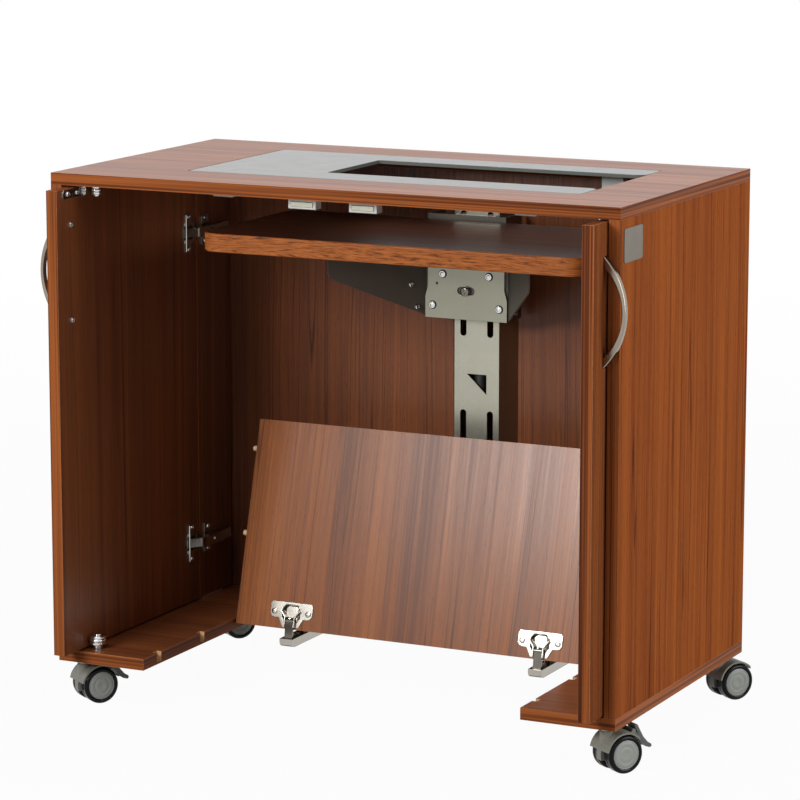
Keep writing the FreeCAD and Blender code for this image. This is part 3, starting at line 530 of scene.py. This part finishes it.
def makeRoom(settings):
    bpy.ops.mesh.primitive_plane_add(size=settings["floorSize"], location=(0, 0, 0))
    floor = bpy.context.object
    floor.name = "studioFloor"
    settled(floor)
    paint = Paint("studioWhite")
    tone = settings["floorTone"]
    matt = paint.add("ShaderNodeBsdfDiffuse", {}, {"Color": (tone, tone, tone, 1)})
    glow = paint.add("ShaderNodeEmission", {}, {"Color": (1, 1, 1, 1), "Strength": 1.0})
    far = paint.vectorMaths("LENGTH", {0: paint.place()}, 1)
    share = paint.between(far, *settings["glowReach"], settings["floorGlow"], 1.0)
    mixed = paint.add("ShaderNodeMixShader", {},
                      {0: seenDirectly(paint) * share, 1: matt, 2: glow})
    paint.tree.links.new(mixed.socket, paint.end.inputs["Surface"])
    dressed(floor, paint.material)
    world = bpy.data.worlds.new("studioAir")
    bpy.context.scene.world = world
    world.use_nodes = True
    tree = world.node_tree
    background = next(node for node in tree.nodes if node.type == "BACKGROUND")
    background.inputs["Color"].default_value = (1, 1, 1, 1)
    seen = seenDirectly(Paint("studioAir", tree))
    strength = seen * (1.0 - settings["ambient"]) + settings["ambient"]
    tree.links.new(strength.socket, background.inputs["Strength"])


makeRoom(roomSettings)
bpy.context.scene.view_settings.view_transform = "Standard"

finishes = {
    "tanLine": plainWood("tanEdgeLine", rgb(150, 98, 60), rgb(186, 134, 92), (60, 60, 60), 0.45),
    "rawBoard": plainWood("rawBoard", rgb(172, 128, 84), rgb(206, 166, 118), (700, 700, 700), 0.8),
    "beech": plainWood("beechDowel", rgb(206, 168, 122), rgb(232, 202, 160), (60, 60, 260), 0.55),
    "shelfTop": laminateMaterial("shelfTopLaminate", "x", "y", 7.3, 0.0, shelfTopLook, 0.3, 0.4),
    "acrylic": plasticMaterial("insertAcrylic", rgb(92, 95, 90), 0.14, 900.0, 0.01, 0.24),
    "white": plasticMaterial("whitePlastic", rgb(198, 198, 194), 0.32),
    "grey": plasticMaterial("greyPlastic", rgb(124, 123, 114), 0.42, shine=0.25),
    "disc": plasticMaterial("wheelDisc", rgb(142, 145, 140), 0.38),
    "lever": plasticMaterial("leverPlastic", rgb(84, 88, 86), 0.40),
    "black": plasticMaterial("blackTyre", rgb(17, 17, 18), 0.16, 500.0, 0.02, 0.10),
    "nylon": plasticMaterial("nylon", rgb(214, 210, 198), 0.42),
    "nickel": metalMaterial("satinNickel", rgb(172, 167, 158), 0.2, (60, 60, 60)),
    "handle": metalMaterial("brushedHandle", rgb(146, 136, 124), 0.22, (300, 300, 20)),
    "bright": metalMaterial("brightSteel", rgb(208, 208, 206), 0.18, (200, 200, 200)),
    # painted shade: a darker, duller sheet metal for the lift's carriage and wings, which stand in shade
    "shade": metalMaterial("paintedShadeSheet", rgb(108, 101, 92), 0.44, (260, 260, 60), 0.2),
    "zinc": galvanisedMaterial("galvanisedSheet", rgb(160, 158, 144), 0.34),
    "zincPlate": galvanisedMaterial("galvanisedPlate", rgb(140, 139, 124), 0.32),
    "darkLink": metalMaterial("darkLink", rgb(120, 114, 106), 0.16, (60, 60, 60)),
    "pewter": metalMaterial("pewterPlate", rgb(112, 104, 92), 0.36, (120, 120, 120), 0.9, 0.16),
    # dark plastic for the strut tube, also used as painted shade in the plate's hole and round the rivets
    "slotDark": plasticMaterial("darkSlot", rgb(30, 29, 28), 0.5),
}


def shelfEdgeMaterial():    # oak-like flow with short dark streaks
    paint = Paint("shelfEdgeWood")
    place = paint.place()
    flow = paint.noise(paint.stretched(place, (3, 3, 30)), 1.0, 1.0)
    lift = paint.vectorMaths("MULTIPLY", {0: flow, 1: (0, 0, 0.05)})
    bent = paint.vectorMaths("ADD", {0: place, 1: lift})
    streaks = paint.noise(paint.stretched(bent, (44, 44, 900)), 1.0, 3.0, 0.6, 0.3)
    fine = paint.noise(paint.stretched(bent, (150, 150, 2200)), 1.0, 2.0, 0.6)
    stops = [(0.36, rgb(84, 43, 22)), (0.46, rgb(148, 84, 42)), (0.62, rgb(182, 106, 55))]
    colour = paint.ramp(streaks * 0.75 + fine * 0.25, stops)
    return paint.surface(Base_Color=colour, Roughness=0.36, Specular_IOR_Level=0.1,
                         Normal=paint.bump(fine, 0.1, 0.0003))


finishes["shelfEdge"] = shelfEdgeMaterial()
print("stage: finishes mixed,", len(finishes))

panelLean = math.radians(74.7)    # of the floor panel at rest, from level

boardSettings = {    # grain, across the grain, thinnest way, seed, shine, look
    # the shaded look is painted shade, the panel look painted light
    "worktop": ("x", "y", "z", 1.0, 0.5, laminateLook),
    "left_side_panel": ("z", "y", "x", 2.0, 0.2, paintedShadeLook),
    "right_side_panel": ("z", "y", "x", 3.4, 0.0, laminateLook),
    "back_panel": ("z", "x", "y", 4.1, 0.3, paintedShadeLook),
    "left_base_strip": ("x", "y", "z", 5.2, 0.3, paintedShadeLook),
    "right_base_strip": ("x", "y", "z", 6.6, 0.6, laminateLook),
    "rear_floor_board": ("x", "y", "z", 7.9, 0.3, paintedShadeLook),
    "left_door": ("z", "y", "x", 8.5, 0.4, paintedShadeLook),
    "right_door": ("z", "y", "x", 9.7, 0.0, paintedShadeLook),
    "left_door_follower": ("z", "y", "x", 10.3, 0.4, paintedShadeLook),
    "right_door_follower": ("z", "y", "x", 11.8, 0.4, paintedShadeLook),
    "floor_panel": ("y", "x", "z", 12.6, 0.21, paintedLightPanelLook),
}
boardGloss = {"floor_panel": 0.21}    # roughness, where it isn't the usual one
usualGloss = 0.36
arrisWidth = 0.0008
arrisAngle = 40
buriedDepth = 0.0005    # a base strip's face deeper than this in its box is bare chipboard


def makeBoard(node, grain, across, thin, seed, shine, look):
    turn = -panelLean if node == "floor_panel" else 0.0
    gloss = boardGloss.get(node, usualGloss)
    piece = copyOfNode(node)
    sheet = laminateMaterial(node + "Laminate", grain, across, seed, turn, look, gloss, shine)
    band = edgeMaterial(node + "Edge", thin, seed, turn)
    dressed(piece, sheet, band, finishes["tanLine"], finishes["rawBoard"])
    low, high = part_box(node)
    thinAxis = axisNames.index(thin)
    level = Matrix.Rotation(turn, 3, "X")
    for face in piece.data.polygons:
        flatness = abs((level @ face.normal)[thinAxis])
        face.material_index = 0 if flatness > 0.9 else 1
        buried = all(low[i] + buriedDepth < face.center[i] < high[i] - buriedDepth for i in range(3))
        if buried and node.endswith("base_strip"):
            face.material_index = 3
    bevelled(piece, arrisWidth, 2, arrisAngle, 1 if "follower" in node else 2)
    standIn(piece, node)


for boardName, boardValues in boardSettings.items():
    makeBoard(boardName, *boardValues)
print("stage: boards made")


shelfEdgeRound = 0.0022


def makeShelf():
    piece = copyOfNode("lift_shelf")
    dressed(piece, finishes["shelfTop"], finishes["shelfEdge"])
    for face in piece.data.polygons:
        face.material_index = 0 if abs(face.normal.z) > 0.9 else 1
    bevelled(piece, shelfEdgeRound, 3, arrisAngle, 1)
    standIn(piece, "lift_shelf")


makeShelf()

# pieces that keep the CAD shape, with softened edges

softened = {    # node: (finish, edge width in mm, segments)
    "insert_plate": ("acrylic", 0.5, 2),
    "insert_clips": ("white", 0.7, 2),
    "catch_bodies": ("white", 0.6, 2),
    "catch_magnets": ("zinc", 0.3, 1),
    "carcass_dowels": ("beech", 0.4, 1),
    "floor_panel_dowels": ("beech", 1.2, 3),
    "roller_posts": ("bright", 0.4, 2),
    "lift_column": ("zinc", 0.45, 2),
    "strut_tube": ("slotDark", 0.4, 2),
    "strut_rod": ("bright", 0.3, 2),
    "lift_front_plate": ("zincPlate", 0.45, 2),
    # the carriage and wings take the shade finish, which is painted shade
    "lift_carriage": ("shade", 0.4, 2),
    "lift_pads": ("nylon", 0.5, 2),
    "lift_wings": ("shade", 0.4, 2),
    "floor_hinge_links": ("darkLink", 1.1, 4),
    "floor_hinge_arms": ("nickel", 0.35, 2),
    "castor_stems": ("zinc", 0.4, 2),
}
for side in ("left", "right"):
    softened[side + "_follower_glides"] = ("nylon", 0.5, 2)
    softened[side + "_door_handle"] = ("handle", 1.5, 4)
    softened[side + "_door_hinges"] = ("nickel", 0.4, 2)
    softened[side + "_door_strike"] = ("bright", 0.3, 2)
for corner in ("front_left", "front_right"):
    softened[corner + "_brake_lever"] = ("lever", 0.7, 3)
for corner in ("front_left", "front_right", "rear_left", "rear_right"):
    softened[corner + "_castor_hood"] = ("grey", 0.8, 3)

for node, (finish, width, segments) in softened.items():
    piece = dressed(copyOfNode(node), finishes[finish])
    bevelled(piece, width / 1000, segments)
    standIn(piece, node)
print("stage: softened pieces made,", len(softened))

# badge, blank with a raised rim

badgeSettings = {"rim": 0.0028, "sunk": 0.0004, "edge": 0.0002}


def makeBadge(settings):
    piece = dressed(copyOfNode("badge_plate"), finishes["pewter"])
    chooseFaces(piece, lambda face: face.normal.x > 0.9)
    bpy.ops.mesh.inset(thickness=settings["rim"], depth=-settings["sunk"])
    objectMode()
    bevelled(piece, settings["edge"], 2)
    standIn(piece, "badge_plate")


makeBadge(badgeSettings)

wheelSettings = {    # millimetres and degrees; the profiles are (radius, height) pairs
    "radius": 25.0, "width": 16.0, "gap": 12.0, "disc": 19.2, "bore": 3.06,
    "turn": 56.0, "trail": 17.0, "stemX": 387.0, "stemY": (26.0, 424.0),
    "wall": [(0, 0.8), (1.2, 0.1), (2.6, 0.0)],                  # out from the disc's edge
    "shoulder": [(-1.2, 0.8), (-0.3, 2.0), (0, 3.4)],            # from the tyre's radius
    "seam": (0.3, 0.5),                                          # depth and half width
    "inset": [(-0.4, 0.5), (-0.05, 0.9)],                        # the disc's inner side
    "face": [(-0.05, 1.3), (-0.6, 0.8), (-1.6, 0.7), (-2.0, 1.0), (-2.5, 0.7)],
    "rings": [(11.2, 0.6), (10.9, 0.75), (10.5, 0.75), (10.2, 0.6), (4.2, 0.6), (4.0, 0.66), (0, 0.66)],
    "boreEnd": 4.1,                                              # below the outer side, as in the face
}


def scaled(profile):    # to metres, with the axis kept just open
    return [(max(radius, 0.001) / 1000, height / 1000) for radius, height in profile]


def mirroredProfile(half, tall):
    return half + [(radius, tall - height) for radius, height in reversed(half)]


def makeWheels(settings):
    rim = settings["disc"] + 0.02
    wide = settings["width"]
    outer = settings["radius"]
    seamDepth, seamHalf = settings["seam"]
    half = [(rim + out, height) for out, height in settings["wall"]]
    half += [(outer + out, height) for out, height in settings["shoulder"]]
    half += [(outer, wide / 2 - seamHalf), (outer - seamDepth, wide / 2)]
    profile = mirroredProfile(half, wide)
    profile.pop(len(half))    # the seam's bottom is there once
    tyre = lathed("tyre", scaled(profile + half[:1]), True, 72)
    dressed(tyre, finishes["black"])
    bore = settings["bore"]
    profile = [(0, wide - settings["boreEnd"]), (bore, wide - settings["boreEnd"]), (bore, 0.5)]
    profile += [(rim + out, height) for out, height in settings["inset"]]
    profile += [(rim + out, wide - down) for out, down in settings["face"]]
    profile += [(radius, wide - down) for radius, down in settings["rings"]]
    disc = lathed("disc", scaled(profile), False, 72)
    dressed(disc, finishes["disc"])
    angle = math.radians(settings["turn"])
    axle = Vector((-math.sin(angle), math.cos(angle), 0))
    trail = Vector((math.cos(angle), math.sin(angle), 0)) * settings["trail"]
    for fore, y in zip(("front", "rear"), settings["stemY"]):
        for side, sign in (("left", -1), ("right", 1)):
            node = fore + "_" + side + "_castor_wheels"
            centre = at(sign * settings["stemX"] + trail.x, y + trail.y, outer)
            pieces = []
            for way in (-1, 1):
                start = centre + axle * (way * settings["gap"] / 2000)
                for master in (tyre, disc):
                    pieces.append(laid(another(master, node + "_copy"), start, axle * way))
            wheels = together(pieces, node + "_made")
            smoothed(wheels, 40)
            standIn(wheels, node)
    for master in (tyre, disc):
        bpy.data.objects.remove(master)


makeWheels(wheelSettings)

rollerSettings = {
    "bottom": {"radius": 11.5, "x": 364.1, "y": 26.0, "z": 84.0},
    "top": {"radius": 8.0, "x": 367.6, "y": 46.0, "z": 698.0},
    "height": 12.0,
    "bore": 3.06,
    "half": [(-0.7, 0), (-0.1, 0.7), (-0.1, 3.2), (-1.2, 3.6), (-0.4, 4.2), (0, 5.2)],
    "tyre": (3.3, 8.7),    # from and to this height the rim is a black tyre
    "hub": 0.006,    # metres
}


def makeRollers(settings):
    tall = settings["height"]
    bore = settings["bore"]
    low, high = settings["tyre"]
    for level in ("bottom", "top"):
        values = settings[level]
        half = [(bore, 0)] + [(values["radius"] + out, height) for out, height in settings["half"]]
        profile = scaled(mirroredProfile(half, tall) + half[:1])
        for side, sign in (("left", -1), ("right", 1)):
            node = side + "_" + level + "_roller"
            piece = lathed(node + "_made", profile, True, 56)
            for face in piece.data.polygons:
                black = low < face.center.z * 1000 < high and face.center.length > settings["hub"]
                face.material_index = 1 if black else 0
            laid(piece, at(sign * values["x"], values["y"], values["z"]), (0, 0, 1))
            dressed(piece, finishes["bright"], finishes["black"])
            smoothed(piece, 40)
            standIn(piece, node)


makeRollers(rollerSettings)
print("stage: wheels and rollers made")

headSteps = 28
domeSteps = 32
tip = 0.000001    # metres, the radius at which a head's profile ends


def crossHead(name, radius, tall):    # a pan head with a cross recess, made along Z at the origin
    head = lathed(name, [(radius, 0), (radius, tall * 0.35), (radius * 0.93, tall * 0.7),
                         (radius * 0.75, tall * 0.93), (radius * 0.4, tall), (tip, tall)],
                  False, headSteps)
    bpy.ops.object.select_all(action="DESELECT")
    for turn in (0, math.pi / 2):
        bpy.ops.mesh.primitive_cube_add(size=1, location=(0, 0, tall), rotation=(0, 0, turn),
                                        scale=(radius * 1.15, radius * 0.26, tall * 1.1))
        carved(head, bpy.context.object)
    smoothed(head, 30)
    return head


def domeHead(name, radius, tall):
    head = lathed(name, [(radius, 0), (radius, tall * 0.2), (radius * 0.92, tall * 0.55),
                         (radius * 0.7, tall * 0.85), (radius * 0.35, tall * 0.98), (tip, tall)],
                  False, domeSteps)
    smoothed(head, 60)
    return head


headTurn = 0.4    # radians, of the first head's cross
nextTurn = 0.9    # more for each head after it


def setHeads(master, name, node, finish, places, direction):    # the master is used up
    pieces = []
    for index, place in enumerate(places):
        copy = another(master, name + "_" + str(index))
        pieces.append(laid(copy, place, direction, headTurn + index * nextTurn))
    bpy.data.objects.remove(master)
    detail(dressed(together(pieces, name), finishes[finish]), node)


doorHeads = {    # millimetres: y and z of the screws on each door's inner face
    "face": 376.0,
    "strike": [(-14.8, 704.5), (9.2, 704.5)],
    "strikeTall": 1.3,
    "handle": [(-7, 535), (-7, 663)],
    "hingeHeights": (166, 613),
    "flange": {"y": 308, "reach": 23, "tall": 1.5},
    "plate": {"y": 355, "reach": 16, "tall": 2.0},
}


def makeDoorHeads(settings):
    for side, sign in (("left", -1), ("right", 1)):
        face = sign * settings["face"]
        inward = (-sign, 0, 0)
        raised = face - sign * settings["strikeTall"]
        setHeads(crossHead("smallHead", 0.0033, 0.0016), side + "_strike_heads",
                 side + "_door_strike", "bright",
                 [at(raised, y, z) for y, z in settings["strike"]], inward)
        setHeads(crossHead("handleHead", 0.0042, 0.0026), side + "_handle_heads",
                 side + "_door_strike", "bright",
                 [at(face, y, z) for y, z in settings["handle"]], inward)
        places = []
        for values in (settings["flange"], settings["plate"]):
            for z in settings["hingeHeights"]:
                for dz in (-values["reach"], values["reach"]):
                    places.append(at(face - sign * values["tall"], values["y"], z + dz))
        setHeads(crossHead("hingeHead", 0.0034, 0.0016), side + "_hinge_heads",
                 side + "_door_hinges", "bright", places, inward)


makeDoorHeads(doorHeads)

plateHeads = {    # millimetres from the cabinet's middle, front edge and floor
    "middle": 28,
    "face": 367.5,
    "rivets": [(35, 571), (50.5, 527)],
    # painted shade: a thin dark disc under each rivet shows as a dark ring round its foot
    "rivetShadeRing": [(5.9, 0), (5.9, 0.35), (5.5, 0.5), (0, 0.5)],
    # painted shade: a thin dark disc and its place stand for the plate's small hole
    "dot": [(1.9, 0), (1.9, 0.15), (0, 0.15)],
    "dotPlace": (-16, 367.5, 557.5),
    "tensionPlace": (28, 363.5, 549),
    "wingPlaces": [(-47.8, 351.5, 556), (-42.2, 359.6, 524)],
    "wingOut": (0.827, -0.561, 0),
}


def makePlateHeads(settings):
    out = (0, -1, 0)
    rivets = [at(settings["middle"] + sign * offset, settings["face"], z)
              for sign in (-1, 1) for offset, z in settings["rivets"]]
    setHeads(domeHead("dome", 0.0048, 0.0030), "front_plate_rivets", "lift_bolts", "bright", rivets, out)
    # painted shade: a dark ring round each rivet's foot
    setHeads(lathed("rivetShadeRing", scaled(settings["rivetShadeRing"]), False, 32), "front_plate_rings", "lift_bolts",
             "slotDark", rivets, out)
    # painted shade: a thin dark disc where the plate has a small hole
    setHeads(lathed("dot", scaled(settings["dot"]), False, 24), "front_plate_dot", "lift_front_plate",
             "slotDark", [at(*settings["dotPlace"])], out)
    setHeads(crossHead("tension", 0.0067, 0.0024), "tension_head", "lift_bolts", "darkLink",
             [at(*settings["tensionPlace"])], out)
    setHeads(crossHead("wingHead", 0.0040, 0.0030), "wing_heads", "lift_wings", "bright",
             [at(*place) for place in settings["wingPlaces"]], settings["wingOut"])


makePlateHeads(plateHeads)
print("stage: heads set")

for node, width in (("lift_bolts", 0.0004), ("column_screws", 0.0006), ("shelf_screws", 0.0006)):
    piece = dressed(copyOfNode(node), finishes["bright"])
    bevelled(piece, width, 2)
    standIn(piece, node)

cupSettings = {    # millimetres: (across, up the panel) outlines and the heights between them
    "x": 190.0,
    "foot": (256.5, 71.2),    # the panel's lower edge, from the cabinet's front and the floor
    "plate": [(-30.5, 38), (30.5, 38), (33, 34), (33, 21), (30, 16.5), (25, 15), (-25, 15),
              (-30, 16.5), (-33, 21), (-33, 34)],
    "plateTall": 1.6,
    "window": [(-13.8, 5), (-13.8, 29), (-9, 34.5), (9, 34.5), (13.8, 29), (13.8, 5)],
    "shell": [(16.9, -11.2), (17.3, -10.8), (17.3, -0.2), (15.6, -0.2), (15.6, -10.0), (14.6, -10.4),
              (0, -10.4)],
    "shellUp": 0.021,    # metres
    "block": [(-9.6, 19), (-9.6, 29.5), (-6, 33), (6, 33), (9.6, 29.5), (9.6, 19), (6, 15.6), (-6, 15.6)],
    "blockSpan": (-9.8, -1.2),
    "flange": [(-20, 16.5), (-14, 16.5), (-8.4, 8), (-8.4, 2.5), (-12.5, 2.5)],
    "flangeSpan": (-0.6, 1.5),
    "cheek": [(-8.3, 2.5), (-6.5, 2.5), (-6.5, 17), (-13.6, 26), (-15.2, 26), (-8.3, 16)],
    "cheekSpan": (-6, 6.4),
    "pin": [(1.5, -8.6), (1.5, 8.6)],
    "pinPlace": (0, 0.012, 0.004),    # metres
    "screws": (26.4, 23.4),
    "screwsOut": 1.5,
}


def onPanel(x, up, out):    # a point on the leaning floor panel's cup face
    y = cupSettings["foot"][0] + up * math.cos(panelLean) - out * math.sin(panelLean)
    z = cupSettings["foot"][1] + up * math.sin(panelLean) + out * math.cos(panelLean)
    return at(x, y, z)


panelOut = (0, -math.sin(panelLean), math.cos(panelLean))


def stoodUp(piece, x):    # from (x, up, out) to the panel
    piece.data.transform(Matrix.Translation(onPanel(x, 0, 0)) @ Matrix.Rotation(panelLean, 4, "X"))
    return piece


def bothWays(outline):    # the outline and its mirror image
    return outline, [(-x, up) for x, up in reversed(outline)]


def roundedPrism(name, outline, span, width, segments):
    piece = prismOf(name, outline, *span)
    bevelled(piece, width, segments)
    return piece


def makeCups(settings):
    pieces = []
    for sign in (-1, 1):
        plate = prismOf("cupPlate", settings["plate"], 0, settings["plateTall"])
        carved(plate, prismOf("cupWindow", settings["window"], -1, 3))
        bevelled(plate, 0.0006, 3)
        shell = lathed("cupShell", scaled(settings["shell"]), False, 56)
        shell.data.transform(Matrix.Translation((0, settings["shellUp"], 0)))
        smoothed(shell)
        parts = [plate, shell]
        parts.append(roundedPrism("cupBlock", settings["block"], settings["blockSpan"], 0.0011, 3))
        for outline in bothWays(settings["flange"]):
            parts.append(roundedPrism("cupFlange", outline, settings["flangeSpan"], 0.0005, 3))
        for outline in bothWays(settings["cheek"]):
            parts.append(roundedPrism("cupCheek", outline, settings["cheekSpan"], 0.0004, 2))
        pin = lathed("cupPin", scaled(settings["pin"]), False, 24)
        bevelled(pin, 0.0003, 2)
        parts.append(laid(pin, settings["pinPlace"], (1, 0, 0)))
        pieces.append(stoodUp(together(parts, "cup"), sign * settings["x"]))
    cups = dressed(together(pieces, "floor_hinge_cups_made"), finishes["nickel"])
    standIn(cups, "floor_hinge_cups")
    across, up = settings["screws"]
    places = [onPanel(sign * settings["x"] + dx, up, settings["screwsOut"])
              for sign in (-1, 1) for dx in (-across, across)]
    setHeads(crossHead("cupHead", 0.0042, 0.0018), "floor_cup_heads", "floor_hinge_cups", "nickel",
             places, panelOut)


makeCups(cupSettings)

hingeRim = {"y": 300, "from": 0.6, "to": 3.2, "rise": 2.4, "half": 26.5, "edge": 0.9}    # millimetres


def makeHingeRims(settings):    # the rolled front edge of each door hinge's flange
    middle = settings["y"] + (settings["from"] + settings["to"]) / 2
    size = (settings["rise"] / 1000, (settings["to"] - settings["from"]) / 1000, settings["half"] / 500)
    for side, sign in (("left", -1), ("right", 1)):
        rims = []
        for z in doorHeads["hingeHeights"]:
            bpy.ops.object.select_all(action="DESELECT")
            face = sign * (doorHeads["face"] - settings["rise"] / 2)
            bpy.ops.mesh.primitive_cube_add(size=1, location=at(face, middle, z), scale=size)
            rim = bpy.context.object
            settled(rim)
            bevelled(rim, settings["edge"] / 1000, 3)
            rims.append(rim)
        piece = dressed(together(rims, side + "_hinge_rims"), finishes["bright"])
        detail(piece, side + "_door_hinges")


makeHingeRims(hingeRim)

leverPaddle = {    # millimetres
    "half": 9.6,
    "edge": 1.1,
    "outline": [    # back from the axle and up from it
        (20.6, 34.2), (22.2, 35.0), (24.2, 34.4), (25.8, 32.0), (29.0, 25.6), (33.8, 16.8), (40.5, 9.0),
        (46.0, 5.8), (46.8, 2.6), (44.0, 1.0), (37.5, 3.4), (31.4, 10.8), (25.8, 20.6), (21.6, 28.4),
        (20.0, 31.8)],
}


def makePaddles(settings):    # the pedal's curved face, from its rounded upper end to its foot
    angle = math.radians(wheelSettings["turn"])
    turn = Matrix.Rotation(angle, 4, "Z") @ Matrix.Rotation(math.pi / 2, 4, "X")
    trail = Vector((math.cos(angle), math.sin(angle), 0)) * wheelSettings["trail"]
    span = (-settings["half"], settings["half"])
    for side, sign in (("left", -1), ("right", 1)):
        node = "front_" + side + "_brake_lever"
        paddle = roundedPrism(node + "_paddle", settings["outline"], span, settings["edge"] / 1000, 4)
        place = at(sign * wheelSettings["stemX"] + trail.x, wheelSettings["stemY"][0] + trail.y,
                   wheelSettings["radius"])
        paddle.data.transform(Matrix.Translation(place) @ turn)
        detail(dressed(paddle, finishes["lever"]), node)


makePaddles(leverPaddle)
print("stage: all pieces made")
